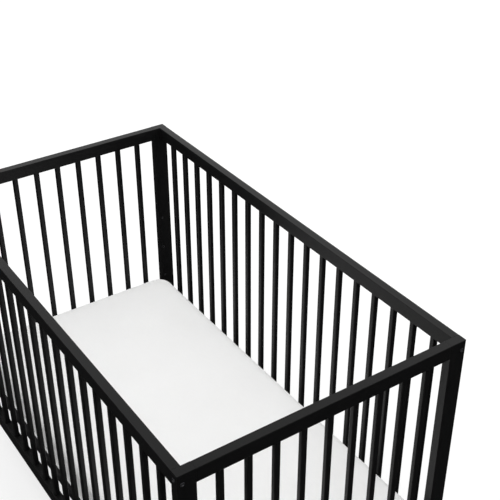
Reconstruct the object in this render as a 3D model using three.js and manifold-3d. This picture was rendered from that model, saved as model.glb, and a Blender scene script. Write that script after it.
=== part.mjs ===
// A baby crib with four fixed slatted sides, a bolt-on mattress support and its mattress.
// Millimetres, +Z up. X runs along the length, Y across the width. The origin is on the floor,
// under the middle of the crib. The end at -X is called left, the side at -Y front.
import * as THREE from "three";
import { mergeVertices } from "three/addons/utils/BufferGeometryUtils.js";
import Module from "manifold-3d";

const wasm = await Module();
wasm.setup();

// ---- Overall sizes ----
const LENGTH = 1376; // over the outer faces of the end panels
const WIDTH = 760; // over the outer faces of the long panels
const HEIGHT = 889; // floor to the top of the rails

// ---- Posts and rails ----
const POST_WIDTH = 44; // along the end of the crib
const POST_THICKNESS = 23.5; // along the length of the crib, the end rails' thickness too
const SIDE_THICKNESS = 22.6; // of the long rails
const TOP_RAIL_HEIGHT = 37.5;
const BOTTOM_RAIL_HEIGHT = 42;
const BOTTOM_RAIL_RISE = 171; // floor to the underside of the bottom rails

// ---- Slats ----
const SLAT_WIDTH = 14.8; // along the rail
const SLAT_DEPTH = 14; // across the rail
const SLAT_ROUND = 3; // radius of the slats' long edges
const SLAT_GAP_LIMIT = 58.5; // widest clear gap between two slats
const END_GAP_CUT = 2; // on the end panels, the gap beside a post is this much narrower
const GROOVE_DEPTH = 7; // of the rails' slat groove

// ---- Bolts that hold the rails to the posts ----
const BOLT_SHANK = 6;
const BOLT_HEAD = 11;
const BOLT_HEAD_HEIGHT = 2;
const BOLT_REACH = 40; // into the end of a rail
const SIDE_BOLT_INSET = 25; // long rails: bolt axis to the rail's flush edge
const END_BOLT_INSET = 17; // end rails: the same, so that the two bolts cross without touching

// ---- Mattress support ----
const SETTING_COUNT = 4; // heights that the support bolts on at
const SETTING_STEP = 115;
const LOWEST_SETTING = 213; // floor to the lowest setting hole
const SETTING_INSET = 32.5; // setting hole to the post's long-side face
const SETTING_DEPTH = 16; // of a setting hole
const SETTING_HEAD = 13;
const SETTING_HEAD_HEIGHT = 3;
const ANGLE_HEIGHT = 30; // steel angle, upright leg
const ANGLE_FLANGE = 25; // steel angle, level leg
const STEEL = 2.5; // thickness of the angles and the hook brackets
const BRACKET_OVERLAP = 30; // hook bracket, width lapped on the end angle
const BRACKET_LIP = 8; // hook bracket, from the hook slot's middle to its outer edge
const STRAP_COUNT = 7;
const STRAP_WIDTH = 30;
const STRAP_THICKNESS = 2;

// ---- Mattress and feet ----
const MATTRESS_HEIGHT = 124;
const MATTRESS_END_GAP = 9; // to the posts
const MATTRESS_CORNER = 55; // corner radius seen from above
const MATTRESS_EDGE = 22; // radius along the upper and lower edges
const GLIDE_DIAMETER = 18;
const GLIDE_HEIGHT = 4;
const GLIDE_PIN = 5;
const GLIDE_PIN_LENGTH = 14;

// ---- Clearances ----
const JOINT_GAP = 0.2; // between two pieces that butt
const BORE_GAP = 0.3; // all round a pin or a shank
const SLIDE_GAP = 0.5; // between the posts and the hook brackets
const HEAD_GAP = 1; // between a setting bolt's head and the steel frame

// ---- Finishes ----
const paintedWood = () => new THREE.MeshStandardMaterial({ color: 0x17171a, roughness: 0.42, metalness: 0 });
const blackSteel = () => new THREE.MeshStandardMaterial({ color: 0x1b1b1d, roughness: 0.5, metalness: 0.6 });
const zincSteel = () => new THREE.MeshStandardMaterial({ color: 0x3b3b3e, roughness: 0.35, metalness: 0.9 });
const whiteCloth = () => new THREE.MeshStandardMaterial({ color: 0xf2f2f0, roughness: 0.9, metalness: 0 });
const blackPlastic = () => new THREE.MeshStandardMaterial({ color: 0x202022, roughness: 0.6, metalness: 0 });

// ---- Levels and faces that several pieces share ----
const HALF_LENGTH = LENGTH / 2;
const HALF_WIDTH = WIDTH / 2;
const POST_INNER_X = HALF_LENGTH - POST_THICKNESS;
const POST_FOOT = GLIDE_HEIGHT + JOINT_GAP;
const TOP_RAIL_UNDERSIDE = HEIGHT - TOP_RAIL_HEIGHT;
const BOTTOM_RAIL_TOP = BOTTOM_RAIL_RISE + BOTTOM_RAIL_HEIGHT;
const BRACKET_INNER_X = POST_INNER_X - SLIDE_GAP - STEEL;
const SUPPORT_HALF_LENGTH = BRACKET_INNER_X - JOINT_GAP;
const SUPPORT_HALF_WIDTH = HALF_WIDTH - SETTING_INSET - SETTING_HEAD / 2 - HEAD_GAP;
const SUPPORT_TOP = LOWEST_SETTING + ANGLE_HEIGHT / 2;

const ROUND_SIDES = 16;
const EPSILON = 1; // how far a cutting tool runs past the face that it opens

const ENDS = [
  { name: "left", sign: -1 },
  { name: "right", sign: 1 },
];
const SIDES = [
  { name: "front", sign: -1 },
  { name: "back", sign: 1 },
];
const LEVELS = [
  { name: "top", height: (inset) => HEIGHT - inset },
  { name: "bottom", height: (inset) => BOTTOM_RAIL_RISE + inset },
];
const CORNERS = ENDS.flatMap((end) => SIDES.map((side) => ({ end, side, name: `${side.name}_${end.name}` })));
const SETTINGS = Array.from({ length: SETTING_COUNT }, (_, step) => LOWEST_SETTING + step * SETTING_STEP);

// ---- Geometry helpers ----

// A closed three.js geometry as a manifold solid.
function toSolid(geometry) {
  const bare = geometry.clone();
  bare.deleteAttribute("normal");
  bare.deleteAttribute("uv");
  const merged = mergeVertices(bare, 1e-4);
  return new wasm.Manifold(
    new wasm.Mesh({
      numProp: 3,
      vertProperties: merged.getAttribute("position").array,
      triVerts: new Uint32Array(merged.index.array),
    }),
  );
}

// A manifold solid as a flat-shaded three.js geometry.
function toGeometry(solid) {
  const mesh = solid.getMesh();
  const geometry = new THREE.BufferGeometry();
  geometry.setAttribute("position", new THREE.BufferAttribute(mesh.vertProperties, 3));
  geometry.setIndex(new THREE.BufferAttribute(mesh.triVerts, 1));
  const flat = geometry.toNonIndexed();
  flat.computeVertexNormals();
  return flat;
}

// A body with every tool cut out of it.
function cut(body, tools) {
  return toGeometry(tools.reduce((rest, tool) => rest.subtract(toSolid(tool)), toSolid(body)));
}

// A round bar between two points, used as a drill.
function drill(diameter, from, to, sides = ROUND_SIDES) {
  const axis = new THREE.Vector3().subVectors(to, from);
  const middle = new THREE.Vector3().addVectors(from, to).multiplyScalar(0.5);
  const turn = new THREE.Quaternion().setFromUnitVectors(
    new THREE.Vector3(0, 1, 0),
    axis.clone().normalize(),
  );
  return new THREE.CylinderGeometry(diameter / 2, diameter / 2, axis.length(), sides)
    .applyQuaternion(turn)
    .translate(middle.x, middle.y, middle.z);
}

// A bar along X, centred on the origin, with the outline (y, z) as its section.
function barAlongX(outline, length) {
  const section = new THREE.Shape(outline.map(([y, z]) => new THREE.Vector2(y, z)));
  return new THREE.ExtrudeGeometry(section, { depth: length, bevelEnabled: false })
    .translate(0, 0, -length / 2)
    .applyMatrix4(
      new THREE.Matrix4().makeBasis(
        new THREE.Vector3(0, 1, 0),
        new THREE.Vector3(0, 0, 1),
        new THREE.Vector3(1, 0, 0),
      ),
    );
}

// A screw along +Z with its head's underside at z = 0, its shank below and a hex socket in the top.
function screw(shank, length, head, headHeight) {
  const rim = headHeight / 4;
  const profile = [
    [0, -length],
    [shank / 2, -length],
    [shank / 2, 0],
    [head / 2, 0],
    [head / 2, headHeight - rim],
    [head / 2 - rim, headHeight],
    [0, headHeight],
  ].map(([radius, height]) => new THREE.Vector2(radius, height));
  const body = new THREE.LatheGeometry(profile, ROUND_SIDES).rotateX(Math.PI / 2);
  const socket = drill(
    shank * 0.75,
    new THREE.Vector3(0, 0, headHeight * 0.2),
    new THREE.Vector3(0, 0, headHeight + EPSILON),
    6,
  );
  return cut(body, [socket]);
}

function named(name, geometry, material, place = [0, 0, 0], turn = [0, 0, 0]) {
  const mesh = new THREE.Mesh(geometry, material);
  mesh.name = name;
  mesh.position.set(...place);
  mesh.rotation.set(...turn);
  return mesh;
}

// ---- Panels: two grooved rails and the slats between them ----

// A rail along X whose slat groove opens downwards, centred on its own box, drilled at both ends.
function railGeometry(span, thickness, height, boltOffset) {
  const y = thickness / 2;
  const z = height / 2;
  const groove = SLAT_DEPTH / 2 + BORE_GAP;
  const roof = -z + GROOVE_DEPTH;
  const length = span - 2 * JOINT_GAP;
  const outline = [
    [-y, -z],
    [-groove, -z],
    [-groove, roof],
    [groove, roof],
    [groove, -z],
    [y, -z],
    [y, z],
    [-y, z],
  ];
  const holes = ENDS.map(({ sign }) =>
    drill(
      BOLT_SHANK + 2 * BORE_GAP,
      new THREE.Vector3(sign * (length / 2 - BOLT_REACH - EPSILON), 0, boltOffset),
      new THREE.Vector3(sign * (length / 2 + EPSILON), 0, boltOffset),
    ),
  );
  return cut(barAlongX(outline, length), holes);
}

// A rectangle about the origin with round corners.
function roundedRectangle(halfX, halfY, radius) {
  return new THREE.Shape()
    .absarc(halfX - radius, halfY - radius, radius, 0, Math.PI / 2)
    .absarc(-halfX + radius, halfY - radius, radius, Math.PI / 2, Math.PI)
    .absarc(-halfX + radius, -halfY + radius, radius, Math.PI, 1.5 * Math.PI)
    .absarc(halfX - radius, -halfY + radius, radius, 1.5 * Math.PI, 2 * Math.PI);
}

// The slats of one panel, joined to the filler strips that space them in the two grooves.
function slatsGeometry(span, gapCut) {
  const count = Math.ceil((span - SLAT_GAP_LIMIT) / (SLAT_WIDTH + SLAT_GAP_LIMIT));
  const gap = (span + 2 * gapCut - count * SLAT_WIDTH) / (count + 1);
  const low = BOTTOM_RAIL_TOP - GROOVE_DEPTH + BORE_GAP;
  const high = TOP_RAIL_UNDERSIDE + GROOVE_DEPTH - BORE_GAP;
  const strip = (bottom, top) =>
    new THREE.BoxGeometry(span - 2 * JOINT_GAP, SLAT_DEPTH, top - bottom).translate(0, 0, (top + bottom) / 2);
  const strips = [strip(low, BOTTOM_RAIL_TOP), strip(TOP_RAIL_UNDERSIDE, high)].map(toSolid);
  const section = roundedRectangle(SLAT_WIDTH / 2, SLAT_DEPTH / 2, SLAT_ROUND);
  const slats = Array.from({ length: count }, (_, index) =>
    toSolid(
      new THREE.ExtrudeGeometry(section, { depth: high - low, bevelEnabled: false, curveSegments: 2 }).translate(
        (index - (count - 1) / 2) * (gap + SLAT_WIDTH),
        0,
        low,
      ),
    ),
  );
  return toGeometry([...strips, ...slats].reduce((whole, piece) => whole.add(piece)));
}

// One side or end of the crib as a group along X; the caller turns and places it.
function panel(name, span, thickness, boltInset, gapCut) {
  const group = new THREE.Group();
  const topBolt = TOP_RAIL_HEIGHT / 2 - boltInset;
  const bottomBolt = BOTTOM_RAIL_HEIGHT / 2 - boltInset;
  group.add(
    named(
      `top_rail_${name}`,
      railGeometry(span, thickness, TOP_RAIL_HEIGHT, topBolt),
      paintedWood(),
      [0, 0, HEIGHT - TOP_RAIL_HEIGHT / 2],
    ),
    named(
      `bottom_rail_${name}`,
      railGeometry(span, thickness, BOTTOM_RAIL_HEIGHT, bottomBolt),
      paintedWood(),
      [0, 0, BOTTOM_RAIL_RISE + BOTTOM_RAIL_HEIGHT / 2],
      [Math.PI, 0, 0],
    ),
    named(`slats_${name}`, slatsGeometry(span, gapCut), paintedWood()),
  );
  return group;
}

function longSide({ name, sign }) {
  const group = panel(name, LENGTH - 2 * POST_THICKNESS, SIDE_THICKNESS, SIDE_BOLT_INSET, 0);
  group.position.y = sign * (HALF_WIDTH - SIDE_THICKNESS / 2);
  return group;
}

function endPanel({ name, sign }) {
  const group = panel(name, WIDTH - 2 * POST_WIDTH, POST_THICKNESS, END_BOLT_INSET, END_GAP_CUT);
  group.position.x = sign * (HALF_LENGTH - POST_THICKNESS / 2);
  group.rotation.z = Math.PI / 2;
  return group;
}

// ---- Posts, their bolts and glides ----

// A post on its own centre line with z from the floor; the signs say which corner it is for.
function postGeometry(endSign, sideSign) {
  const outerX = (endSign * POST_THICKNESS) / 2;
  const outerY = (sideSign * POST_WIDTH) / 2;
  const sideBoltY = outerY - (sideSign * SIDE_THICKNESS) / 2;
  const settingY = outerY - sideSign * SETTING_INSET;
  const clear = BOLT_SHANK + 2 * BORE_GAP;
  const past = (value) => value + Math.sign(value) * EPSILON;
  const body = new THREE.BoxGeometry(POST_THICKNESS, POST_WIDTH, HEIGHT - POST_FOOT).translate(
    0,
    0,
    (HEIGHT + POST_FOOT) / 2,
  );
  const boltHoles = LEVELS.flatMap(({ height }) => [
    drill(
      clear,
      new THREE.Vector3(past(-outerX), sideBoltY, height(SIDE_BOLT_INSET)),
      new THREE.Vector3(past(outerX), sideBoltY, height(SIDE_BOLT_INSET)),
    ),
    drill(
      clear,
      new THREE.Vector3(0, past(-outerY), height(END_BOLT_INSET)),
      new THREE.Vector3(0, past(outerY), height(END_BOLT_INSET)),
    ),
  ]);
  const settingHoles = SETTINGS.map((height) =>
    drill(
      clear,
      new THREE.Vector3(past(-outerX), settingY, height),
      new THREE.Vector3(-outerX + endSign * SETTING_DEPTH, settingY, height),
    ),
  );
  const pinHole = drill(
    GLIDE_PIN + 2 * BORE_GAP,
    new THREE.Vector3(0, 0, POST_FOOT - EPSILON),
    new THREE.Vector3(0, 0, GLIDE_HEIGHT + GLIDE_PIN_LENGTH + EPSILON),
  );
  return cut(body, [...boltHoles, ...settingHoles, pinHole]);
}

function post({ end, side, name }) {
  return named(`post_${name}`, postGeometry(end.sign, side.sign), paintedWood(), [
    end.sign * (HALF_LENGTH - POST_THICKNESS / 2),
    side.sign * (HALF_WIDTH - POST_WIDTH / 2),
    0,
  ]);
}

// A nail-in foot: a domed disc with a pin up the middle of the post.
function glide({ end, side, name }) {
  const radius = GLIDE_DIAMETER / 2;
  const dome = GLIDE_HEIGHT / 2;
  const profile = [
    [0, 0],
    [radius - dome, 0],
    [radius, dome],
    [radius, GLIDE_HEIGHT],
    [GLIDE_PIN / 2, GLIDE_HEIGHT],
    [GLIDE_PIN / 2, GLIDE_HEIGHT + GLIDE_PIN_LENGTH],
    [0, GLIDE_HEIGHT + GLIDE_PIN_LENGTH],
  ].map(([r, z]) => new THREE.Vector2(r, z));
  return named(
    `glide_${name}`,
    new THREE.LatheGeometry(profile, ROUND_SIDES).rotateX(Math.PI / 2),
    blackPlastic(),
    [end.sign * (HALF_LENGTH - POST_THICKNESS / 2), side.sign * (HALF_WIDTH - POST_WIDTH / 2), 0],
  );
}

// Through the outer end face, along X, into the end of a long rail.
function sideBolt({ end, side }, level) {
  return named(
    `bolt_${side.name}_${level.name}_rail_${end.name}`,
    screw(BOLT_SHANK, POST_THICKNESS + BOLT_REACH, BOLT_HEAD, BOLT_HEAD_HEIGHT),
    zincSteel(),
    [
      end.sign * (HALF_LENGTH + JOINT_GAP),
      side.sign * (HALF_WIDTH - SIDE_THICKNESS / 2),
      level.height(SIDE_BOLT_INSET),
    ],
    [0, (end.sign * Math.PI) / 2, 0],
  );
}

// Through the outer side face, along Y, into the end of an end rail.
function endBolt({ end, side }, level) {
  return named(
    `bolt_${end.name}_${level.name}_rail_${side.name}`,
    screw(BOLT_SHANK, POST_WIDTH + BOLT_REACH, BOLT_HEAD, BOLT_HEAD_HEIGHT),
    zincSteel(),
    [
      end.sign * (HALF_LENGTH - POST_THICKNESS / 2),
      side.sign * (HALF_WIDTH + JOINT_GAP),
      level.height(END_BOLT_INSET),
    ],
    [(-side.sign * Math.PI) / 2, 0, 0],
  );
}

// In a setting hole, its head standing off the post so that a hook bracket drops behind it.
function settingBolt({ end, side, name }) {
  const reach = STEEL + SLIDE_GAP + BORE_GAP + SETTING_DEPTH - EPSILON;
  return named(
    `setting_bolt_${name}`,
    screw(BOLT_SHANK, reach, SETTING_HEAD, SETTING_HEAD_HEIGHT),
    zincSteel(),
    [end.sign * (BRACKET_INNER_X - BORE_GAP), side.sign * (HALF_WIDTH - SETTING_INSET), LOWEST_SETTING],
    [0, (-end.sign * Math.PI) / 2, 0],
  );
}

// ---- Mattress support: four steel angles, cross straps and four hook brackets ----

// An angle along X: the level leg on top reaches towards -Y, the upright leg's outer face is y = 0.
function angleGeometry(length) {
  return barAlongX(
    [
      [0, -ANGLE_HEIGHT],
      [0, 0],
      [-ANGLE_FLANGE, 0],
      [-ANGLE_FLANGE, -STEEL],
      [-STEEL, -STEEL],
      [-STEEL, -ANGLE_HEIGHT],
    ],
    length,
  );
}

function sideAngle({ name, sign }) {
  const length = 2 * (SUPPORT_HALF_LENGTH - ANGLE_FLANGE - JOINT_GAP);
  const turn = sign > 0 ? 0 : Math.PI;
  return named(
    `support_angle_${name}`,
    angleGeometry(length),
    blackSteel(),
    [0, sign * SUPPORT_HALF_WIDTH, SUPPORT_TOP],
    [0, 0, turn],
  );
}

function endAngle({ name, sign }) {
  return named(
    `support_angle_${name}`,
    angleGeometry(2 * SUPPORT_HALF_WIDTH),
    blackSteel(),
    [sign * SUPPORT_HALF_LENGTH, 0, SUPPORT_TOP],
    [0, 0, (-sign * Math.PI) / 2],
  );
}

function strap(index) {
  const pitch = (2 * (SUPPORT_HALF_LENGTH - ANGLE_FLANGE)) / STRAP_COUNT;
  const length = 2 * (SUPPORT_HALF_WIDTH - STEEL - JOINT_GAP);
  return named(
    `support_strap_${index + 1}`,
    new THREE.BoxGeometry(STRAP_WIDTH, length, STRAP_THICKNESS),
    blackSteel(),
    [(index - (STRAP_COUNT - 1) / 2) * pitch, 0, SUPPORT_TOP - STEEL - JOINT_GAP - STRAP_THICKNESS / 2],
  );
}

// A plate lapped on the end angle; its slot is open below, so that it lifts off the setting bolt.
function hookBracket({ end, side, name }) {
  const slotWidth = BOLT_SHANK + 2 * BORE_GAP;
  const lap = SETTING_HEAD / 2 + HEAD_GAP + BRACKET_OVERLAP;
  const outline = new THREE.Shape();
  outline
    .moveTo(BRACKET_LIP, -ANGLE_HEIGHT / 2)
    .lineTo(BRACKET_LIP, ANGLE_HEIGHT / 2)
    .lineTo(-lap, ANGLE_HEIGHT / 2)
    .lineTo(-lap, -ANGLE_HEIGHT / 2)
    .lineTo(-slotWidth / 2, -ANGLE_HEIGHT / 2)
    .lineTo(-slotWidth / 2, 0)
    .absarc(0, 0, slotWidth / 2, Math.PI, 0, true)
    .lineTo(slotWidth / 2, -ANGLE_HEIGHT / 2);
  const plate = new THREE.ExtrudeGeometry(outline, { depth: STEEL, bevelEnabled: false, curveSegments: ROUND_SIDES / 2 })
    .translate(0, 0, -STEEL / 2)
    .rotateX(Math.PI / 2)
    .rotateZ((side.sign * Math.PI) / 2);
  return named(`hook_bracket_${name}`, plate, blackSteel(), [
    end.sign * (BRACKET_INNER_X + STEEL / 2),
    side.sign * (HALF_WIDTH - SETTING_INSET),
    LOWEST_SETTING,
  ]);
}

// ---- Mattress ----

function mattress() {
  const halfX = POST_INNER_X - MATTRESS_END_GAP - MATTRESS_EDGE;
  const halfY = SUPPORT_HALF_WIDTH - MATTRESS_EDGE;
  const corner = MATTRESS_CORNER - MATTRESS_EDGE;
  const body = new THREE.ExtrudeGeometry(roundedRectangle(halfX, halfY, corner), {
    depth: MATTRESS_HEIGHT - 2 * MATTRESS_EDGE,
    bevelThickness: MATTRESS_EDGE,
    bevelSize: MATTRESS_EDGE,
    bevelSegments: 4,
    curveSegments: 6,
  }).translate(0, 0, MATTRESS_EDGE);
  return named("mattress", body, whiteCloth(), [0, 0, SUPPORT_TOP + BORE_GAP]);
}

// ---- Assembly ----
const crib = new THREE.Group();
crib.add(...SIDES.map(longSide), ...ENDS.map(endPanel), ...CORNERS.map(post), ...CORNERS.map(glide));
for (const level of LEVELS) {
  crib.add(...CORNERS.map((corner) => sideBolt(corner, level)));
  crib.add(...CORNERS.map((corner) => endBolt(corner, level)));
}
crib.add(...CORNERS.map(settingBolt));

const support = new THREE.Group();
support.add(...SIDES.map(sideAngle), ...ENDS.map(endAngle), ...CORNERS.map(hookBracket));
support.add(...Array.from({ length: STRAP_COUNT }, (_, index) => strap(index)));
support.add(mattress());
crib.add(support);

export default crib;
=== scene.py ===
"""A black-painted slatted crib with its mattress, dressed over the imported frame.

Metres, +Z up, X along the crib, Y across it. Posts, rails and the steel support are CAD solids with
eased edges. Slats, screws, sleeves, glides, rivets and the mattress are new surfaces.
"""

import logging
import math
from dataclasses import dataclass
from enum import Enum

import bmesh
import bpy
import numpy as np
from mathutils import Euler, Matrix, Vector


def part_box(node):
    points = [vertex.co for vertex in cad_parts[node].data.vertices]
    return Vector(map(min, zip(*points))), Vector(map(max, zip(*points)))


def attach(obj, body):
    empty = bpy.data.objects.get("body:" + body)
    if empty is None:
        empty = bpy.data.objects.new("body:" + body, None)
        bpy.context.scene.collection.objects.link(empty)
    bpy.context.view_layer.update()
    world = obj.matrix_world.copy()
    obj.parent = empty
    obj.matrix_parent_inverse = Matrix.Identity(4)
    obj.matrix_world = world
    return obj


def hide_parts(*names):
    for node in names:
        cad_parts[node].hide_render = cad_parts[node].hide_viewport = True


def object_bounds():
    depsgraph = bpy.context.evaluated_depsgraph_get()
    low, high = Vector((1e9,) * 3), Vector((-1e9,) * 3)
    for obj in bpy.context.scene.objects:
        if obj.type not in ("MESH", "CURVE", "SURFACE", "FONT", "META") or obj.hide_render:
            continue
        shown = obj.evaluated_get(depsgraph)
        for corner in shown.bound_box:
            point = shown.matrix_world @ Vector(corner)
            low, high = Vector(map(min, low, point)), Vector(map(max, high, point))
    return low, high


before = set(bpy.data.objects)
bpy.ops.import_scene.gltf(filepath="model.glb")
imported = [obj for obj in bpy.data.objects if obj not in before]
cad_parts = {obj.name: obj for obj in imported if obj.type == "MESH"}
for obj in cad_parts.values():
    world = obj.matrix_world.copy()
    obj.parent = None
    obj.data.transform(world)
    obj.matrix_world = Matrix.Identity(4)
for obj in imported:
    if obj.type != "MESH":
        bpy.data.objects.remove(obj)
CAD_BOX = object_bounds()

log = logging.getLogger("crib")

MM = 0.001

# The least that a length is divided by.
TINY = 1e-9
# Closer points of a new surface are one point, and shorter edges go.
SEAM, SLIVER = 0.002 * MM, 0.001 * MM
# Closer points of a copied CAD solid are one point.
CAD_SEAM = 0.01 * MM
# Faces that turn by less are one face, and edges that turn by more are eased.
FLAT_TURN, SHARP_TURN = math.radians(1), math.radians(60)
# An edge with more of its length than this along a piece runs along it.
ALONG_SHARE = 0.9
# A steeper axis is crossed with X instead of Z.
NEARLY_UPRIGHT = 0.9
# How far broad faces steer the light on the narrow ones beside them, in percent.
BROAD_FACES = 100
# Most of a noise's heights lie in this range.
NOISE_SPAN = (0.3, 0.7)

Box = tuple[np.ndarray, np.ndarray]
Surface = tuple[np.ndarray, np.ndarray]
Colour = tuple[float, float, float]
Span = tuple[float, float]


class Grain(Enum):
    """The way the grain of a piece of timber runs."""

    ALONG = "x"
    ACROSS = "y"
    UPRIGHT = "z"


def node_box(node: str) -> Box:
    """Gives a CAD node's lowest and highest corners at rest, as arrays of three numbers."""
    low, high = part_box(node)
    return np.array(low, float), np.array(high, float)


def nodes_named(*starts: str) -> list[str]:
    """Lists the CAD nodes whose names begin with one of the given words, in order."""
    return sorted(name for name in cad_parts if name.startswith(starts))


# ---- shader building


class Wire:
    """A shader socket that Python's own operators can do sums with."""

    def __init__(self, sheet: "NodeSheet", socket: bpy.types.NodeSocket) -> None:
        """Wraps one output socket of a node sheet."""
        self.sheet = sheet
        self.socket = socket

    def _sum(self, operation: str, *others: "Wire | float") -> "Wire":
        """Adds one Math node with the given inputs, in order, and gives its output."""
        inputs = dict(enumerate(others))
        return self.sheet.add("ShaderNodeMath", {"operation": operation}, inputs)

    def __add__(self, other: "Wire | float") -> "Wire":
        """Adds."""
        return self._sum("ADD", self, other)

    __radd__ = __add__

    def __mul__(self, other: "Wire | float") -> "Wire":
        """Multiplies."""
        return self._sum("MULTIPLY", self, other)

    __rmul__ = __mul__

    def __sub__(self, other: "Wire | float") -> "Wire":
        """Subtracts."""
        return self._sum("SUBTRACT", self, other)

    def __rsub__(self, other: float) -> "Wire":
        """Subtracts this from a number."""
        return self._sum("SUBTRACT", other, self)

    def sine(self) -> "Wire":
        """Takes the sine."""
        return self._sum("SINE", self)

    def __abs__(self) -> "Wire":
        """Drops the sign."""
        return self._sum("ABSOLUTE", self)

    def or_more(self, other: "Wire | float") -> "Wire":
        """Takes the larger of two values."""
        return self._sum("MAXIMUM", self, other)


class NodeSheet:
    """A material's node tree, filled by one method."""

    def __init__(self, name: str) -> None:
        """Makes an empty material with an output and a Principled shader.

        Args:
            name: The material's name.
        """
        self.material = bpy.data.materials.new(name)
        self.material.use_nodes = True
        self.tree = self.material.node_tree
        self.tree.nodes.clear()
        self.shader = self.tree.nodes.new("ShaderNodeBsdfPrincipled")
        output = self.tree.nodes.new("ShaderNodeOutputMaterial")
        self.tree.links.new(self.shader.outputs["BSDF"], output.inputs["Surface"])

    def add(
        self,
        kind: str,
        settings: dict[str, object],
        inputs: dict[int | str, object],
        output: int | str = 0,
    ) -> Wire:
        """Adds any node.

        Args:
            kind: The node's type.
            settings: Its properties, set before anything is linked.
            inputs: A value or a wire for each socket, by name or number.
            output: The output that is wanted.

        Returns:
            That output as a wire.
        """
        node = self.tree.nodes.new(kind)
        for key, value in settings.items():
            setattr(node, key, value)
        for key, value in inputs.items():
            self._feed(node.inputs[key], value)
        return Wire(self, node.outputs[output])

    def _feed(self, socket: bpy.types.NodeSocket, value: object) -> None:
        """Links a wire to a socket, or sets the socket's own value.

        Args:
            socket: The socket.
            value: The wire or the value.
        """
        if isinstance(value, Wire):
            self.tree.links.new(value.socket, socket)
        else:
            socket.default_value = value

    def places(self, scale: tuple[float, ...] = (1, 1, 1)) -> Wire:
        """Gives a point's place on the object, with each axis multiplied by its own scale."""
        place = self.add("ShaderNodeTexCoord", {}, {}, "Object")
        return self.add("ShaderNodeMapping", {}, {"Vector": place, "Scale": scale})

    def noise(self, place: Wire, scale: float, detail: float, rough: float = 0.5) -> Wire:
        """Adds noise around a half: scale repeats in a metre, and detail finer layers."""
        inputs = {"Vector": place, "Scale": scale, "Detail": detail, "Roughness": rough}
        return self.add("ShaderNodeTexNoise", {}, inputs)

    def spread(
        self, value: Wire, low: float, high: float, to_low: float = 0.0, to_high: float = 1.0
    ) -> Wire:
        """Carries the range low to high on to to_low to to_high, and holds a value inside."""
        inputs = {"Value": value, 1: low, 2: high, 3: to_low, 4: to_high}
        return self.add("ShaderNodeMapRange", {"clamp": True}, inputs)

    def blend(self, factor: Wire, first: Colour | Wire, second: Colour | Wire) -> Wire:
        """Mixes two colours: a factor of 0 gives the first, and 1 the second."""
        inputs = {"Factor": factor, 6: _opaque(first), 7: _opaque(second)}
        return self.add("ShaderNodeMix", {"data_type": "RGBA"}, inputs, 2)

    def split(self, vector: Wire) -> tuple[Wire, Wire, Wire]:
        """Takes a vector apart into its three parts."""
        parts = self.add("ShaderNodeSeparateXYZ", {}, {0: vector})
        return tuple(Wire(self, socket) for socket in parts.socket.node.outputs)

    def edges(self, on_edge: float = 0.80, on_face: float = 0.985) -> Wire:
        """Gives 1 on eased edges and 0 on faces, where a normal's largest part nears 1."""
        x, y, z = (abs(part) for part in self.split(self.facing()))
        return self.spread(x.or_more(y).or_more(z), on_edge, on_face, 1.0, 0.0)

    def facing(self) -> Wire:
        """Gives the way the surface faces, on the object's own axes."""
        return self.add("ShaderNodeTexCoord", {}, {}, "Normal")

    def relief(self, height: Wire, depth: float, strength: float) -> None:
        """Lets a height stand up from the surface.

        Args:
            height: The height, from 0 to 1.
            depth: How far 1 stands up, in metres.
            strength: How much of the relief shows.
        """
        inputs = {"Height": height, "Distance": depth, "Strength": strength}
        bump = self.add("ShaderNodeBump", {}, inputs)
        self._feed(self.shader.inputs["Normal"], bump)

    def set(self, **values: object) -> None:
        """Sets the shader's sockets by name, with _ for each space."""
        for key, value in values.items():
            self._feed(self.shader.inputs[key.replace("_", " ")], value)


def _opaque(colour: Colour | Wire) -> object:
    """Gives a plain colour its alpha, and leaves a wire alone."""
    return colour if isinstance(colour, Wire) else (*colour, 1.0)


# ---- finishes


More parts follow.
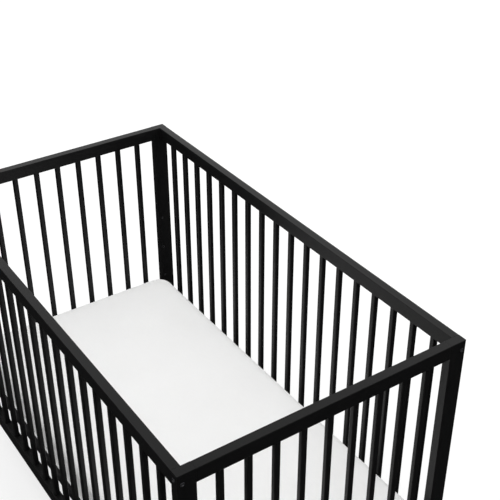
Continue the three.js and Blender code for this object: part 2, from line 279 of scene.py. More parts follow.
@dataclass(frozen=True)
class SatinPaint:
    """Satin black paint on close-grained timber: faint grain, edges lightened by wear and painted
    highlight, upward faces lightened by dust and painted light.

    In every finish, a scale is a noise's repeats in a metre, a span is the range over which
    something comes in, and the relief has a depth and a strength.
    """

    grain: Grain
    dark: Colour = (0.0032, 0.0032, 0.0035)
    light: Colour = (0.0060, 0.0059, 0.0060)
    # Colour of the upward faces: a little dust, and painted light from the light grazing them.
    dust_and_top_light: Colour = (0.009, 0.009, 0.009)
    # Lighter colour of the eased edges: a little wear, with a painted highlight on it.
    rubbed: Colour = (0.016, 0.015, 0.0145)
    roughness: Span = (0.36, 0.46)
    rubbed_polish: float = 0.06
    ior: float = 1.3
    drawn_out: float = 16.0
    fibre_scale: float = 16.0
    cloud_scale: float = 7.0
    skin_scale: float = 900.0
    worn_lit_edge_scale: float = 45.0
    worn_lit_edge_span: Span = (0.42, 0.68)
    top_span: Span = (0.6, 1.0)
    cloud_span: Span = (0.35, 0.7)
    dust_and_top_light_cover: Span = (0.25, 0.6)
    sheen_span: Span = (0.35, 0.65)
    relief: Span = (0.12 * MM, 0.35)

    def material(self) -> bpy.types.Material:
        """Builds the paint.

        The grain is noise drawn out along the timber; the paint's skin is a much finer even noise.

        Returns:
            The material.
        """
        sheet = NodeSheet(f"satin_paint_{self.grain.value}")
        stretch = tuple(1.0 if way is self.grain else self.drawn_out for way in Grain)
        fibres = sheet.noise(sheet.places(stretch), self.fibre_scale, 6.0, 0.62)
        cloud = sheet.noise(sheet.places(), self.cloud_scale, 2.0)
        skin = sheet.noise(sheet.places(), self.skin_scale, 2.0)
        rubs = sheet.noise(sheet.places(), self.worn_lit_edge_scale, 4.0, 0.65)
        # Painted light: upward faces are lightened in cloudy patches, partly as dust and partly as
        # painted highlight.
        up = sheet.split(sheet.facing())[2]
        dust_and_light_patches = sheet.spread(cloud, *self.cloud_span, *self.dust_and_top_light_cover)
        dusty_lit_tops = sheet.spread(up, *self.top_span) * dust_and_light_patches
        paint = sheet.blend(sheet.spread(fibres, *NOISE_SPAN), self.dark, self.light)
        # Painted highlight: eased edges lighten in patches, partly as wear and partly as painted
        # highlight, and turn a little glossier.
        worn = sheet.edges() * sheet.spread(rubs, *self.worn_lit_edge_span)
        rough = sheet.spread(fibres * 0.6 + cloud * 0.4, *self.sheen_span, *self.roughness)
        sheet.set(
            Base_Color=sheet.blend(worn, sheet.blend(dusty_lit_tops, paint, self.dust_and_top_light), self.rubbed),
            Roughness=rough - worn * self.rubbed_polish,
            IOR=self.ior,
        )
        sheet.relief(fibres * 0.75 + skin * 0.25, *self.relief)
        return sheet.material


@dataclass(frozen=True)
class PowderCoat:
    """Black powder coat on steel: an even fine orange peel, a little duller in patches."""

    colour: Colour = (0.010, 0.010, 0.011)
    worn: Colour = (0.030, 0.029, 0.028)
    roughness: Span = (0.42, 0.58)
    peel_scale: float = 1400.0
    patch_scale: float = 14.0
    worn_span: Span = (0.5, 0.75)
    relief: Span = (0.10 * MM, 0.5)

    def material(self) -> bpy.types.Material:
        """Builds the coat.

        Returns:
            The material.
        """
        sheet = NodeSheet("powder_coat")
        peel = sheet.noise(sheet.places(), self.peel_scale, 2.0)
        patch = sheet.noise(sheet.places(), self.patch_scale, 4.0, 0.6)
        sheet.set(
            Base_Color=sheet.blend(sheet.spread(patch, *self.worn_span), self.colour, self.worn),
            Roughness=sheet.spread(patch, *NOISE_SPAN, *self.roughness),
        )
        sheet.relief(peel, *self.relief)
        return sheet.material


@dataclass(frozen=True)
class BlackZinc:
    """Blackened zinc on the screws: dark metal with fine turning marks and rubbed spots."""

    colour: Colour = (0.055, 0.055, 0.060)
    rubbed: Colour = (0.19, 0.19, 0.20)
    roughness: Span = (0.3, 0.48)
    metallic: float = 0.9
    spot_scale: float = 260.0
    mark_scale: float = 700.0
    mark_stretch: tuple[float, float, float] = (1, 1, 6)
    rubbed_span: Span = (0.45, 0.75)
    relief: Span = (0.03 * MM, 0.4)

    def material(self) -> bpy.types.Material:
        """Builds the plating.

        Returns:
            The material.
        """
        sheet = NodeSheet("black_zinc")
        spots = sheet.noise(sheet.places(), self.spot_scale, 4.0, 0.65)
        marks = sheet.noise(sheet.places(self.mark_stretch), self.mark_scale, 2.0)
        rubs = sheet.spread(spots, *self.rubbed_span)
        sheet.set(
            Base_Color=sheet.blend(rubs, self.colour, self.rubbed),
            Roughness=sheet.spread(marks, *NOISE_SPAN, *self.roughness),
            Metallic=self.metallic,
        )
        sheet.relief(marks, *self.relief)
        return sheet.material


@dataclass(frozen=True)
class MouldedPlastic:
    """Dull black plastic with a fine spark texture, scuffed where it meets the floor."""

    colour: Colour = (0.020, 0.020, 0.021)
    scuff: Colour = (0.075, 0.072, 0.068)
    scuff_height: float = 2 * MM
    roughness: Span = (0.6, 0.78)
    spark_scale: float = 1800.0
    spark_span: Span = (0.4, 0.6)
    scuff_cover: Span = (0.2, 1.0)
    relief: Span = (0.05 * MM, 0.5)

    def material(self) -> bpy.types.Material:
        """Builds the plastic.

        Returns:
            The material.
        """
        sheet = NodeSheet("moulded_plastic")
        spark = sheet.noise(sheet.places(), self.spark_scale, 2.0)
        low_down = sheet.spread(sheet.split(sheet.places())[2], 0.0, self.scuff_height, 1.0, 0.0)
        rub = low_down * sheet.spread(spark, *self.spark_span, *self.scuff_cover)
        sheet.set(
            Base_Color=sheet.blend(rub, self.colour, self.scuff),
            Roughness=sheet.spread(spark, *NOISE_SPAN, *self.roughness),
        )
        sheet.relief(spark, *self.relief)
        return sheet.material


@dataclass(frozen=True)
class CottonCover:
    """White close-woven cotton: a fine over-and-under weave, soft mottling and a faint sheen."""

    shade: Colour = (0.83, 0.83, 0.825)
    bright: Colour = (0.90, 0.90, 0.895)
    thread: float = 1.4 * MM
    roughness: Span = (0.82, 0.95)
    sheen: float = 0.15
    sheen_roughness: float = 0.5
    specular: float = 0.2
    slub_scale: float = 60.0
    slub_stretch: tuple[float, float, float] = (1, 8, 8)
    mottle_scale: float = 5.0
    tone_span: Span = (0.15, 0.7)
    relief: Span = (0.16 * MM, 0.35)

    def material(self) -> bpy.types.Material:
        """Builds the cloth.

        The weave on the level faces is the sine across the cloth times the sine along it, one
        thread to a turn. The upright faces get half of the same with the height as one of the two.

        Returns:
            The material.
        """
        sheet = NodeSheet("cotton_cover")
        place = sheet.places()
        turns = 2 * math.pi / self.thread
        x, y, z = (part * turns for part in sheet.split(place))
        weave = x.sine() * y.sine() + (x + y).sine() * z.sine() * 0.5
        slub = sheet.noise(sheet.places(self.slub_stretch), self.slub_scale, 3.0)
        mottle = sheet.noise(place, self.mottle_scale, 3.0)
        tone = sheet.spread(weave * 0.15 + slub * 0.35 + mottle * 0.5, *self.tone_span)
        sheet.set(
            Base_Color=sheet.blend(tone, self.shade, self.bright),
            Roughness=sheet.spread(slub, *NOISE_SPAN, *self.roughness),
            Sheen_Weight=self.sheen,
            Sheen_Roughness=self.sheen_roughness,
            Specular_IOR_Level=self.specular,
        )
        sheet.relief(weave * 0.5 + slub * 0.5, *self.relief)
        return sheet.material


# ---- surfaces


def grid_cells(columns: int, rows: int, closed: tuple[bool, bool]) -> np.ndarray:
    """Lists the four-cornered cells of a grid of points, which are numbered column by column.

    A cell's corners are its own point, the next one across, the one diagonally on and the next one
    up. A closed direction goes back to its start.

    Args:
        columns: How many columns of points there are.
        rows: How many points each has.
        closed: Whether the columns and the rows go round.

    Returns:
        The cells as rows of four numbers.
    """
    counts = [count if loop else count - 1 for count, loop in zip((columns, rows), closed)]
    i, j = np.meshgrid(np.arange(counts[0]), np.arange(counts[1]), indexing="ij")
    ni, nj = (i + 1) % columns, (j + 1) % rows
    cells = [i * rows + j, ni * rows + j, ni * rows + nj, i * rows + nj]
    return np.stack(cells, -1).reshape(-1, 4)


def rounded_bars(lows: np.ndarray, highs: np.ndarray, radius: float, steps: int) -> Surface:
    """Makes many bars with rounded edges, each of them one closed surface.

    Each bar is a small ball's longitude and latitude grid, pulled apart to the bar's corners: a
    point is the sign of its direction times the half size less the radius, plus the radius times
    the direction. The grid repeats the lines where a sign changes, so that the flat faces lie
    between them.

    Args:
        lows: The bars' lowest corners, one row each.
        highs: The bars' highest corners, one row each.
        radius: The edges' radius.
        steps: Grid cells over a quarter turn.

    Returns:
        The surface.
    """
    quarter = np.linspace(0, math.pi / 2, steps + 1)
    across = np.concatenate([quarter + k * math.pi / 2 for k in range(4)])
    across_side = np.repeat(np.arange(4), steps + 1)
    up = np.concatenate([quarter - math.pi / 2, quarter])
    up_side = np.repeat([-1.0, 1.0], steps + 1)
    turn, lift = np.meshgrid(across, up, indexing="ij")
    level = np.cos(lift)
    normal = np.stack([level * np.cos(turn), level * np.sin(turn), np.sin(lift)], -1)
    corner_signs = np.array([[1, -1, -1, 1], [1, 1, -1, -1]])[:, across_side]
    sideways = [np.repeat(signs[:, None], up.size, 1) for signs in corner_signs]
    sign = np.stack([*sideways, np.repeat(up_side[None], across.size, 0)], -1)
    half = (highs - lows)[:, None, None, :] / 2
    middle = (highs + lows)[:, None, None, :] / 2
    points = middle + sign * (half - radius) + radius * normal
    columns, rows = across.size, up.size
    corners = np.arange(4) * (steps + 1) * rows
    caps = [corners[None, ::-1], corners[None] + rows - 1]
    cells = np.concatenate([grid_cells(columns, rows, (True, False)), *caps])
    starts = np.arange(len(lows))[:, None, None] * columns * rows
    return points.reshape(-1, 3), (cells[None] + starts).reshape(-1, 4)


def turned(
    profile: np.ndarray,
    centre: np.ndarray,
    axis: np.ndarray,
    sides: int = 32,
    hexed: int = 0,
    ring: bool = False,
) -> Surface:
    """Turns a profile round an axis.

    A point is the centre, plus its height times the axis, plus its radius times the direction at
    its angle. On a hexagonal row the radius is divided by the cosine of the angle from the middle
    of the nearest flat.

    Args:
        profile: Radius and height, one row each.
        centre: The point that heights are measured from.
        axis: The direction of positive height.
        sides: How many steps a full turn has.
        hexed: How many rows, from the first, are hexagonal.
        ring: Whether the last row joins the first, as on a sleeve.

    Returns:
        The surface.
    """
    axis = axis / np.linalg.norm(axis)
    aside = [0.0, 0.0, 1.0] if abs(axis[2]) < NEARLY_UPRIGHT else [1.0, 0.0, 0.0]
    first = np.cross(axis, aside)
    first /= np.linalg.norm(first)
    second = np.cross(axis, first)
    angle = np.linspace(0, 2 * math.pi, sides, endpoint=False)
    spoke = np.cos(angle)[:, None, None] * first + np.sin(angle)[:, None, None] * second
    flat = np.cos((angle + math.pi / 6) % (math.pi / 3) - math.pi / 6)
    count = len(profile)
    stretch = np.where(np.arange(count)[None] < hexed, 1 / flat[:, None], 1.0)
    radius = (profile[None, :, 0] * stretch)[..., None]
    points = centre + profile[None, :, 1:2] * axis + radius * spoke
    return points.reshape(-1, 3), grid_cells(sides, count, (True, ring))


def rounded_step(out: float, up: float, radius: float, steps: int = 4) -> np.ndarray:
    """Draws the quarter ring of a profile's outer corner, from its side to its top.

    A point is the ring's centre plus the radius times the cosine and the sine of its angle.

    Args:
        out: The corner's radius from the axis.
        up: The corner's height.
        radius: The rounding.
        steps: How many lengths the quarter has.

    Returns:
        Radius and height, one row each, from the side to the top.
    """
    angle = np.linspace(0, math.pi / 2, steps + 1)
    radii, heights = out - radius + radius * np.cos(angle), up - radius + radius * np.sin(angle)
    return np.stack([radii, heights], -1)


def joined(parts: list[Surface]) -> Surface:
    """Puts several surfaces into one list of vertices and one of faces."""
    starts = np.cumsum([0] + [len(points) for points, _ in parts[:-1]])
    return (
        np.concatenate([points for points, _ in parts]),
        np.concatenate([faces + start for (_, faces), start in zip(parts, starts)]),
    )


def corners_of(mesh: bpy.types.Mesh) -> np.ndarray:
    """Reads where a mesh's vertices are.

    Args:
        mesh: The mesh.

    Returns:
        The vertices as rows of three numbers.
    """
    values = np.empty(len(mesh.vertices) * 3)
    mesh.vertices.foreach_get("co", values)
    return values.reshape(-1, 3)


def placed(name: str, data: bpy.types.ID) -> bpy.types.Object:
    """Puts a mesh, a lamp or a camera into the scene as an object.

    Args:
        name: The object's name.
        data: What it holds.

    Returns:
        The object, at the origin.
    """
    thing = bpy.data.objects.new(name, data)
    bpy.context.collection.objects.link(thing)
    return thing


def make_piece(
    name: str, points: np.ndarray, faces: np.ndarray, material: bpy.types.Material
) -> bpy.types.Object:
    """Makes an object from a surface, closes its seams and turns its faces outwards.

    Args:
        name: The piece's name.
        points: Its vertices.
        faces: Its faces.
        material: Its finish.

    Returns:
        The object, at the origin.
    """
    mesh = bpy.data.meshes.new(name)
    mesh.from_pydata(points.tolist(), [], faces.tolist())
    tidy = bmesh.new()
    tidy.from_mesh(mesh)
    bmesh.ops.remove_doubles(tidy, verts=tidy.verts, dist=SEAM)
    bmesh.ops.dissolve_degenerate(tidy, edges=tidy.edges, dist=SLIVER)
    bmesh.ops.recalc_face_normals(tidy, faces=tidy.faces)
    tidy.to_mesh(mesh)
    tidy.free()
    mesh.shade_smooth()
    mesh.materials.append(material)
    return placed(name, mesh)


def even_normals(piece: bpy.types.Object) -> None:
    """Keeps broad faces flat in the light and lets only the eased edges turn.

    Args:
        piece: The piece.
    """
    modifier = piece.modifiers.new("even_normals", "WEIGHTED_NORMAL")
    modifier.keep_sharp = True
    modifier.weight = BROAD_FACES


def eased_copy(
    node: str, name: str, width: float, steps: int, long_edge: float, ends: float
) -> bpy.types.Object:
    """Copies a CAD solid with its corners merged and its long sharp edges eased.

    Args:
        node: The CAD node.
        name: The new piece's name.
        width: The easing along the piece.
        steps: How many faces the easing has.
        long_edge: The shortest edge that is eased, which leaves bores and slots alone.
        ends: The share of the easing that the edges across the piece get.

    Returns:
        The copy, with its modifiers in place.
    """
    mesh = bpy.data.meshes.new(name)
    shape = bmesh.new()
    shape.from_mesh(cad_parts[node].data)
    bmesh.ops.remove_doubles(shape, verts=shape.verts, dist=CAD_SEAM)
    bmesh.ops.dissolve_limit(
        shape, angle_limit=FLAT_TURN, verts=shape.verts, edges=shape.edges, delimit={"NORMAL"}
    )
    low, high = node_box(node)
    run = int(np.argmax(high - low))
    weight = shape.edges.layers.float.new("bevel_weight_edge")
    for edge in shape.edges:
        length = edge.calc_length()
        sharp = len(edge.link_faces) == 2 and edge.calc_face_angle(0) > SHARP_TURN
        along = abs((edge.verts[0].co - edge.verts[1].co)[run]) > ALONG_SHARE * length
        edge[weight] = (1.0 if along else ends) * float(sharp and length > long_edge)
    shape.to_mesh(mesh)
    shape.free()
    mesh.shade_smooth()
    piece = placed(name, mesh)
    easing = piece.modifiers.new("eased_edges", "BEVEL")
    easing.limit_method = "WEIGHT"
    easing.width = width
    easing.segments = steps
    easing.use_clamp_overlap = False
    even_normals(piece)
    return piece


def fit(piece: bpy.types.Object, body: str, slot: str, *nodes: str) -> None:
    """Gives a piece its place in the crib.

    Args:
        piece: The piece.
        body: The body that it rides on.
        slot: The slot that its finish comes from; not used.
        *nodes: The CAD nodes that it stands for.
    """
    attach(piece, body)
    if nodes:
        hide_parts(*nodes)
    log.info("%s on %s", piece.name, body)


# ---- the crib


@dataclass
class Timber:
    """Posts and rails, re-cut from their CAD solids with eased edges."""

    easing: float = 1.2 * MM
    ends: float = 0.15
    long_edge: float = 15 * MM
    steps: int = 3

    def _grain(self, node: str) -> Grain:
        """Finds which way a piece of timber runs from its own box."""
        low, high = node_box(node)
        return list(Grain)[int(np.argmax(high - low))]

    def build(self, paints: dict[Grain, bpy.types.Material]) -> None:
        """Re-cuts every post and rail.

        Args:
            paints: The paint for each grain.
        """
        for node in nodes_named("post_", "top_rail_", "bottom_rail_"):
            piece = eased_copy(
                node, f"timber_{node}", self.easing, self.steps, self.long_edge, self.ends
            )
            piece.data.materials.append(paints[self._grain(node)])
            fit(piece, "crib_frame", "painted_timber", node)


@dataclass
class Slats:
    """The slats of the four sides, with the filler strips that space them in the rails' grooves."""

    rounding: float = 3 * MM
    strip_easing: float = 0.4 * MM
    steps: int = 4
    apart: float = 20 * MM

    def _columns(self, node: str, run: int) -> np.ndarray:
        """Finds where each slat of a panel starts and ends along its rail.

        Away from the strips' ends, the CAD solid has corners only on the slats' sides, so a wide
        step between two neighbouring corners is the gap between two slats.

        Args:
            node: The panel's CAD node.
            run: The axis along the rail.

        Returns:
            Each slat's start and end, one row each.
        """
        points = corners_of(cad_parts[node].data)
        low, high = node_box(node)
        between = (points[:, 2] > low[2] + MM) & (points[:, 2] < high[2] - MM)
        edges = np.unique(points[between, run])
        edges = edges[(edges > low[run] + MM) & (edges < high[run] - MM)]
        groups = np.split(edges, np.flatnonzero(np.diff(edges) > self.apart) + 1)
        return np.array([[group.min(), group.max()] for group in groups])

    def build(self, paints: dict[Grain, bpy.types.Material]) -> None:
        """Makes the slats of each panel as one piece.

        Args:
            paints: The paint for each grain.
        """
        for node in nodes_named("slats_"):
            low, high = node_box(node)
            run = int(np.argmax(high[:2] - low[:2]))
            columns = self._columns(node, run)
            lows, highs = (np.repeat(end[None], len(columns), 0) for end in (low, high))
            lows[:, run], highs[:, run] = columns.T
            side = node.split("_")[1]
            strips_low, strips_high = np.stack([low, low]), np.stack([high, high])
            strips_high[0, 2] = node_box(f"bottom_rail_{side}")[1][2]
            strips_low[1, 2] = node_box(f"top_rail_{side}")[0][2]
            slats = rounded_bars(lows, highs, self.rounding, self.steps)
            strips = rounded_bars(strips_low, strips_high, self.strip_easing, 1)
            piece = make_piece(f"timber_{node}", *joined([slats, strips]), paints[Grain.UPRIGHT])
            even_normals(piece)
            fit(piece, "crib_frame", "painted_timber", node)


@dataclass
class SettingInserts:
    """Steel sleeves in the posts' free setting holes, with a thin lip on the post's face."""

    bore: float = 2.6 * MM
    sleeve: float = 2.9 * MM
    lip: float = 4.4 * MM
    stand: float = 0.4 * MM
    depth: float = 9 * MM
    ease: float = 0.25 * MM
    off_face: float = 0.02 * MM
    step: float = 115 * MM
    count: int = 4

    def build(self, metal: bpy.types.Material) -> None:
        """Sets a sleeve into each free setting hole of each post.

        Args:
            metal: The sleeves' finish.
        """
        lip = rounded_step(self.lip, self.stand, self.ease)
        profile = np.array(
            [
                [self.bore, -self.depth],
                [self.bore, self.stand - self.ease],
                [self.bore + self.ease, self.stand],
                *lip[::-1],
                [self.lip, self.off_face],
                [self.sleeve, self.off_face],
                [self.sleeve, -self.depth],
            ]
        )
        for node in nodes_named("post_"):
            low, high = node_box(node)
            corner = node.removeprefix("post_")
            bolt_low, bolt_high = node_box(f"setting_bolt_{corner}")
            centre = (bolt_low + bolt_high) / 2
            inward = -np.sign(centre[0])
            face = low[0] if inward < 0 else high[0]
            levels = [centre[2] + k * self.step for k in range(1, self.count)]
            spots = [np.array([face, centre[1], level]) for level in levels]
            axis = np.array([inward, 0.0, 0.0])
            sleeves = joined([turned(profile, spot, axis, ring=True) for spot in spots])
            fit(make_piece(f"inserts_{corner}", *sleeves, metal), "crib_frame", "bolt_steel")


@dataclass
class Screws:
    """Button-head screws with hexagon sockets, for the rails and for the support's setting."""

    setting_head: float = 3 * MM
    rail_head: float = 2 * MM
    shank: float = 2.9 * MM
    ease: float = 0.7 * MM
    under_ease: float = 0.25 * MM
    rim_drop: float = 0.35 * MM
    tip: float = 0.8 * MM
    socket_share: float = 0.42
    socket_depth: float = 1.5 * MM
    socket_most: float = 0.6
    mouth_width: float = 0.2 * MM
    mouth_drop: float = 0.15 * MM
    brow_share: float = 0.75
    brow_drop: float = 0.08 * MM
    sides: int = 48

    def _screw(self, node: str) -> Surface:
        """Makes one screw on its CAD node's own sizes.

        Args:
            node: The screw's CAD node.

        Returns:
            The surface.
        """
        low, high = node_box(node)
        middle = (low + high) / 2
        run = int(np.argmax(high - low))
        setting = node.startswith("setting")
        if setting:
            run = 0
        outward = np.zeros(3)
        outward[run] = -np.sign(middle[run]) if setting else np.sign(middle[run])
        head = (high - low)[2] / 2
        thick = self.setting_head if setting else self.rail_head
        top = high[run] if outward[run] > 0 else low[run]
        seat = middle.copy()
        seat[run] = top - outward[run] * thick
        length = (high - low)[run] - thick
        socket = head * self.socket_share
        sunk = thick - min(self.socket_depth, thick * self.socket_most)
        crown = rounded_step(head, thick - self.rim_drop, self.ease)[::-1]
        profile = np.array(
            [
                [0.0, sunk],
                [socket, sunk],
                [socket, thick - self.mouth_drop],
                [socket + self.mouth_width, thick],
                [head * self.brow_share, thick - self.brow_drop],
                *crown,
                [head, self.under_ease],
                [head - self.under_ease, 0.0],
                [self.shank, 0.0],
                [self.shank, -length + self.tip],
                [self.shank - self.tip, -length],
                [0.0, -length],
            ]
        )
        return turned(profile, seat, outward, self.sides, hexed=4)

    def build(self, metal: bpy.types.Material) -> None:
        """Makes every screw.

        Args:
            metal: The screws' finish.
        """
        for node in nodes_named("bolt_", "setting_bolt_"):
            screw = make_piece(f"screw_{node}", *self._screw(node), metal)
            fit(screw, "crib_frame", "bolt_steel", node)


@dataclass
class Glides:
    """Moulded glides under the posts, with a soft rim and a barbed pin."""

    base: float = 4 * MM
    rim: float = 1.4 * MM
    pin: float = 2.4 * MM
    point: float = 0.8 * MM
    ease: float = 0.5 * MM
    barb: float = 0.1 * MM
    barbs: int = 4
    bare: float = 2 * MM
    sides: int = 40

    def build(self, plastic: bpy.types.Material) -> None:
        """Makes the four glides.

        Args:
            plastic: The glides' finish.
        """
        for node in nodes_named("glide_"):
            low, high = node_box(node)
            middle = (low + high) / 2
            radius, length = (high - low)[0] / 2, (high - low)[2]
            rim = rounded_step(radius, self.rim, self.rim)[::-1] * [1, -1] + [0, self.rim]
            levels = np.linspace(self.base + self.bare, length - self.bare, 2 * self.barbs)
            teeth = np.stack([np.tile([self.pin, self.pin + self.barb], self.barbs), levels], -1)
            profile = np.array(
                [
                    [0.0, 0.0],
                    *rim,
                    [radius, self.base - self.ease],
                    [radius - self.ease, self.base],
                    [self.pin, self.base],
                    *teeth,
                    [self.pin - self.point, length],
                    [0.0, length],
                ]
            )
            spot = np.array([middle[0], middle[1], low[2]])
            surface = turned(profile, spot, np.array([0.0, 0.0, 1.0]), self.sides)
            glide = make_piece(f"moulded_{node}", *surface, plastic)
            fit(glide, "crib_frame", "glide_plastic", node)


@dataclass
class Support:
    """The folded steel mattress support: edges eased, and rivets through the straps' ends."""

    easing: float = 0.5 * MM
    steps: int = 2
    long_edge: float = 12 * MM
    rivet: float = 4.5 * MM
    rivet_height: float = 1.6 * MM
    rivet_inset: float = 11 * MM
    rivet_spread: float = 8 * MM
    rivet_gap: float = 0.02 * MM
    rivet_steps: int = 6
    rivet_sides: int = 20

    def _rivets(self, node: str) -> Surface:
        """Makes the four rivet heads under one strap.

        A head is a quarter of an ellipse turned round the downward axis.

        Args:
            node: The strap's CAD node.

        Returns:
            The surface of all four.
        """
        low, high = node_box(node)
        middle = (low + high) / 2
        angle = np.linspace(0, math.pi / 2, self.rivet_steps + 1)
        dome = np.stack([self.rivet * np.sin(angle), self.rivet_height * np.cos(angle)], -1)
        profile = np.concatenate([dome, [[0.0, 0.0]]])
        down = np.array([0.0, 0.0, -1.0])
        spots = [
            np.array([middle[0] + side * self.rivet_spread, end, low[2] - self.rivet_gap])
            for side in (-1, 1)
            for end in (low[1] + self.rivet_inset, high[1] - self.rivet_inset)
        ]
        return joined([turned(profile, spot, down, self.rivet_sides) for spot in spots])

    def build(self, steel: bpy.types.Material, zinc: bpy.types.Material) -> None:
        """Makes the support's angles, straps, hooks and rivets.

        Args:
            steel: The support's finish.
            zinc: The rivets' finish.
        """
        for node in nodes_named("support_", "hook_"):
            piece = eased_copy(
                node, f"steel_{node}", self.easing, self.steps, self.long_edge, ends=1.0
            )
            piece.data.materials.append(steel)
            fit(piece, "mattress_support", "support_steel", node)
        rivets = joined([self._rivets(node) for node in nodes_named("support_strap_")])
        fit(make_piece("strap_rivets", *rivets, zinc), "mattress_support", "bolt_steel")


@dataclass
class Mattress:
    """A firm foam mattress in a close white cotton cover, with a welt round its lower edge."""

    corner: float = 55 * MM
    edge: float = 30 * MM
    lower_edge: float = 12 * MM
    crown: float = 3 * MM
    crown_kept: float = 0.35
    draw_in: float = 3 * MM
    draw_in_power: int = 8
    smaller: float = 2.5 * MM
    cell: float = 10 * MM
    swell: float = 3.5 * MM
    pressure: float = 4.0
    quality: int = 4
    frames: int = 20
    welt: float = 2.6 * MM
    welt_rise: float = 15 * MM
    welt_steps: int = 90
    welt_sides: int = 10
    welt_blur: int = 5

    def _shell(self, half: np.ndarray) -> Surface:
        """Lays an even grid over the six faces of a box.

        Args:
            half: Half the box's length, width and height.

        Returns:
            The vertices and the faces.
        """
        counts = np.maximum(2, np.round(2 * half / self.cell).astype(int))
        parts = []
        for axis in range(3):
            a, b = (axis + 1) % 3, (axis + 2) % 3
            sides = [np.linspace(-1, 1, counts[k] + 1) for k in (a, b)]
            u, v = np.meshgrid(*sides, indexing="ij")
            cells = grid_cells(*u.shape, (False, False))
            for sign in (-1.0, 1.0):
                points = np.empty((u.size, 3))
                points[:, axis] = sign
                points[:, a], points[:, b] = u.ravel(), v.ravel()
                parts.append((points * half, cells[:, :: int(sign)]))
        return joined(parts)

    def _shape(self, points: np.ndarray, half: np.ndarray) -> np.ndarray:
        """Rounds a box's surface into the mattress.

        First the plan: inside each corner square the point's larger offset becomes its distance
        from the corner's centre. Then the section: the same rule in the square that the depth
        inside the outline and the height make. Last, the top rises by a product of two parabolas,
        and each side draws in by a parabola along its length.

        Args:
            points: Points on the box, about its middle.
            half: Half the box's length, width and height.

        Returns:
            The rounded points.
        """
        flat = points[:, :2]
        core = np.clip(flat, -(half[:2] - self.corner), half[:2] - self.corner)
        away = flat - core
        size = np.abs(away).max(1)
        length = np.hypot(*away.T)
        away = away * (size / np.maximum(length, TINY))[:, None]
        out = np.hypot(*away.T)
        spoke = away / np.maximum(out, TINY)[:, None]
        height = points[:, 2]
        edge = np.where(height > 0, self.edge, self.lower_edge)
        a = np.maximum(out - (self.corner - edge), 0)
        b = np.maximum(np.abs(height) - (half[2] - edge), 0)
        scale = np.maximum(a, b) / np.maximum(np.hypot(a, b), TINY)
        both = (a > 0) & (b > 0)
        a2, b2 = np.where(both, a * scale, a), np.where(both, b * scale, b)
        plan = core + spoke * (out - a + a2)[:, None]
        level = np.sign(height) * (np.abs(height) - b + b2)
        share = plan / half[:2]
        rise = self.crown * (1 - share[:, 0] ** 2) * (1 - share[:, 1] ** 2)
        top = level - self.crown + rise + self.crown * self.crown_kept
        level = np.where(height > 0, top, level)
        waist = np.cos(np.clip(level / half[2], -1, 1) * math.pi / 2)
        middle = (1 - share[:, ::-1] ** 2) * np.abs(share) ** self.draw_in_power
        plan = plan - np.sign(plan) * self.draw_in * middle * waist[:, None]
        return np.column_stack([plan, level])

    def _swollen(self, piece: bpy.types.Object, floor: float) -> tuple[np.ndarray, np.ndarray]:
        """Lets the cover fill by cloth simulation, then holds each point near where it started.

        A move is cut to the swell times the hyperbolic tangent of its length over the swell.

        Args:
            piece: The cover.
            floor: The level of the support it rests on.

        Returns:
            Where each point started, and how far it moved.
        """
        scene = bpy.context.scene
        mesh = piece.data
        start = corners_of(mesh)
        cloth = piece.modifiers.new("filling", "CLOTH")
        cloth.settings.use_pressure = True
        cloth.settings.uniform_pressure_force = self.pressure
        cloth.settings.quality = self.quality
        cloth.settings.effector_weights.gravity = 0.0
        cloth.point_cache.frame_start, cloth.point_cache.frame_end = 1, self.frames
        for step in range(1, self.frames + 1):
            scene.frame_set(step)
        filled = piece.evaluated_get(bpy.context.evaluated_depsgraph_get())
        move = corners_of(filled.data) - start
        piece.modifiers.remove(cloth)
        scene.frame_set(1)
        length = np.linalg.norm(move, axis=1)
        held = self.swell * np.tanh(length / self.swell)
        move = move * (held / np.maximum(length, TINY))[:, None]
        place = start + move
        place[:, 2] = np.maximum(place[:, 2], floor)
        log.info("cover swelled by up to %.1f mm", float(held.max()) / MM)
        mesh.vertices.foreach_set("co", place.ravel())
        mesh.update()
        return start, place - start

    def _welt(
        self, half: np.ndarray, middle: np.ndarray, start: np.ndarray, move: np.ndarray
    ) -> Surface:
        """Runs a covered cord round the side, low down.

        Its path is the box's outline at one height, rounded like the mattress itself and moved
        with the nearest points of the cover. The cord is a small circle carried along it, in the
        plane of the path's outward direction and the vertical.

        Args:
            half: Half the mattress's length, width and height.
            middle: The mattress's middle.
            start: Where the cover's points started.
            move: How far they moved.

        Returns:
            The vertices and the faces.
        """
        side = np.linspace(-1, 1, self.welt_steps, endpoint=False)
        one = np.ones_like(side)
        edges = ((side, -one), (one, side), (-side, one), (-one, -side))
        square = np.concatenate([np.stack(pair, -1) for pair in edges])
        rise = np.full(len(square), self.welt_rise - half[2])
        path = self._shape(np.column_stack([square * half[:2], rise]), half) + middle
        nearest = np.array([np.argmin(((start - point) ** 2).sum(1)) for point in path])
        shift = move[nearest]
        weights = np.hanning(self.welt_blur + 2)[1:-1]
        weights /= weights.sum()
        around = np.concatenate([shift[-self.welt_blur :], shift, shift[: self.welt_blur]])
        shift = np.stack([np.convolve(around[:, k], weights, "same") for k in range(3)], -1)
        path = path + shift[self.welt_blur : -self.welt_blur]
        path[:, 2] = path[:, 2].mean()
        ahead = np.roll(path, -1, 0) - np.roll(path, 1, 0)
        outward = np.stack([ahead[:, 1], -ahead[:, 0]], -1)
        outward /= np.linalg.norm(outward, axis=1)[:, None]
        turn = np.linspace(0, 2 * math.pi, self.welt_sides, endpoint=False)
        points = np.repeat(path[:, None], self.welt_sides, 1)
        points[..., :2] += outward[:, None] * (self.welt * np.cos(turn))[None, :, None]
        points[..., 2] += self.welt * np.sin(turn)
        return points.reshape(-1, 3), grid_cells(*points.shape[:2], (True, True))

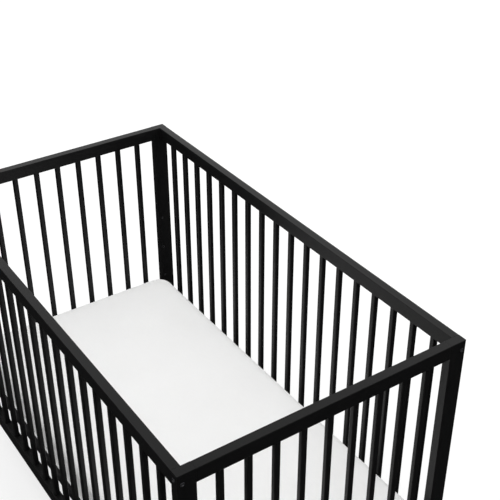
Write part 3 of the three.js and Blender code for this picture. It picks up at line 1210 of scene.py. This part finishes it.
    def build(self, cloth: bpy.types.Material) -> None:
        """Makes the cover and its welt.

        Args:
            cloth: The cover's finish.
        """
        low, high = node_box("mattress")
        middle, half = (low + high) / 2, (high - low) / 2
        inner = half - self.smaller
        points, faces = self._shell(inner)
        points = self._shape(points, inner) + middle
        cover = make_piece("mattress_cover", points, faces, cloth)
        start, move = self._swollen(cover, low[2])
        smooth = cover.modifiers.new("smooth", "SUBSURF")
        smooth.levels = smooth.render_levels = 1
        welt = make_piece("mattress_welt", *self._welt(inner, middle, start, move), cloth)
        fit(cover, "mattress", "mattress_cover", "mattress")
        fit(welt, "mattress", "mattress_cover")


# ---- studio


@dataclass
class Studio:
    """A white floor, a soft sky that dims downwards, a wide lamp overhead, and the camera."""

    lens: float = 71.15
    film: float = 36.0
    yaw: float = 145.83
    pitch: float = -32.48
    stand: tuple[float, float, float] = (1.8836, -1.0231, 1.3719)
    sky: float = 1.6
    ground: float = 0.03
    side: float = 0.03
    side_from: tuple[float, float, float] = (-0.1, -0.9, -0.4)
    side_span: Span = (0.3, 1.0)
    high_sky: float = 0.56
    horizon_span: Span = (-0.05, 0.1)
    high_span: Span = (0.42, 0.72)
    lamp: float = 1.75
    lamp_spread: float = 110.0
    lamp_height: float = 4.0
    paper_shade: float = 0.35
    paper_roughness: float = 0.9
    paper: float = 0.64
    reach: float = 150.0

    def floor(self) -> None:
        """Lays the floor, which glows a little so that it reads as white paper."""
        sheet = NodeSheet("white_floor")
        sheet.set(
            Base_Color=(*[self.paper_shade] * 3, 1),
            Roughness=self.paper_roughness,
            Emission_Color=(1, 1, 1, 1),
            Emission_Strength=self.paper,
        )
        square = np.array([[-1, -1, 0], [1, -1, 0], [1, 1, 0], [-1, 1, 0]], float)
        floor = make_piece("floor", square * self.reach, np.array([[0, 1, 2, 3]]), sheet.material)
        floor.visible_glossy = False
        floor.visible_diffuse = False

    def _world_node(
        self, kind: str, inputs: dict[int, object], **settings: object
    ) -> bpy.types.Node:
        """Adds one node to the sky.

        Args:
            kind: The node's type.
            inputs: A value or a socket for each input's number.
            **settings: Its properties.

        Returns:
            The node.
        """
        tree = bpy.context.scene.world.node_tree
        node = tree.nodes.new(kind)
        for key, value in settings.items():
            setattr(node, key, value)
        for key, value in inputs.items():
            if isinstance(value, bpy.types.NodeSocket):
                tree.links.new(value, node.inputs[key])
            else:
                node.inputs[key].default_value = value
        return node

    def _ramp(
        self, value: bpy.types.NodeSocket, span: Span, to_low: float, to_high: float
    ) -> bpy.types.NodeSocket:
        """Carries the values in span on to to_low to to_high, and holds them inside."""
        inputs = {0: value, 1: span[0], 2: span[1], 3: to_low, 4: to_high}
        return self._world_node("ShaderNodeMapRange", inputs).outputs[0]

    def light(self) -> None:
        """Lights the room with a sky that dims overhead and at the horizon, and a wide lamp."""
        world = bpy.data.worlds.new("studio")
        bpy.context.scene.world = world
        world.use_nodes = True
        world.node_tree.nodes.clear()
        add = self._world_node
        way = add("ShaderNodeTexCoord", {}).outputs["Generated"]
        up = add("ShaderNodeSeparateXYZ", {0: way}).outputs["Z"]
        low = self._ramp(up, self.horizon_span, self.ground, self.sky)
        high = self._ramp(up, self.high_span, 1.0, self.high_sky / self.sky)
        above = add("ShaderNodeMath", {0: low, 1: high}, operation="MULTIPLY").outputs[0]
        length = float(np.linalg.norm(self.side_from))
        toward = tuple(part / length for part in self.side_from)
        dot = add("ShaderNodeVectorMath", {0: way, 1: toward}, operation="DOT_PRODUCT")
        beside = self._ramp(dot.outputs["Value"], self.side_span, 0.0, self.side)
        lit = add("ShaderNodeMath", {0: above, 1: beside}, operation="MAXIMUM").outputs[0]
        seen = add("ShaderNodeLightPath", {}).outputs["Is Camera Ray"]
        level = add("ShaderNodeMath", {0: lit, 1: seen}, operation="MAXIMUM").outputs[0]
        sky = add("ShaderNodeBackground", {1: level}).outputs[0]
        add("ShaderNodeOutputWorld", {0: sky})
        lamp = bpy.data.lights.new("overhead", "SUN")
        lamp.energy, lamp.angle = self.lamp, math.radians(self.lamp_spread)
        holder = placed("overhead", lamp)
        holder.location = (0, 0, self.lamp_height)
        holder.visible_glossy = False

    def camera(self) -> None:
        """Sets the camera above and beyond the crib's right front corner."""
        top = CAD_BOX[1][2]
        data = bpy.data.cameras.new("camera")
        data.lens = self.lens
        data.sensor_width = self.film
        camera = placed("camera", data)
        camera.location = Vector((self.stand[0], self.stand[1], self.stand[2] + top))
        yaw, pitch = math.radians(self.yaw), math.radians(self.pitch)
        camera.rotation_euler = Euler((math.pi / 2 + pitch, 0, yaw - math.pi / 2))
        bpy.context.scene.camera = camera

    def build(self) -> None:
        """Sets up the floor, the light and the camera."""
        self.floor()
        self.light()
        self.camera()
        bpy.context.scene.view_settings.view_transform = "Standard"
        log.info("studio")


def main() -> None:
    """Builds the crib's pieces in order, then the studio."""
    logging.basicConfig(level=logging.INFO, format="%(name)s: %(message)s")
    paints = {grain: SatinPaint(grain).material() for grain in Grain}
    finishes = (PowderCoat(), BlackZinc(), MouldedPlastic())
    steel, zinc, plastic = (finish.material() for finish in finishes)
    Timber().build(paints)
    Slats().build(paints)
    SettingInserts().build(zinc)
    Screws().build(zinc)
    Glides().build(plastic)
    Support().build(steel, zinc)
    Mattress().build(CottonCover().material())
    Studio().build()


if __name__ == "__main__":
    main()
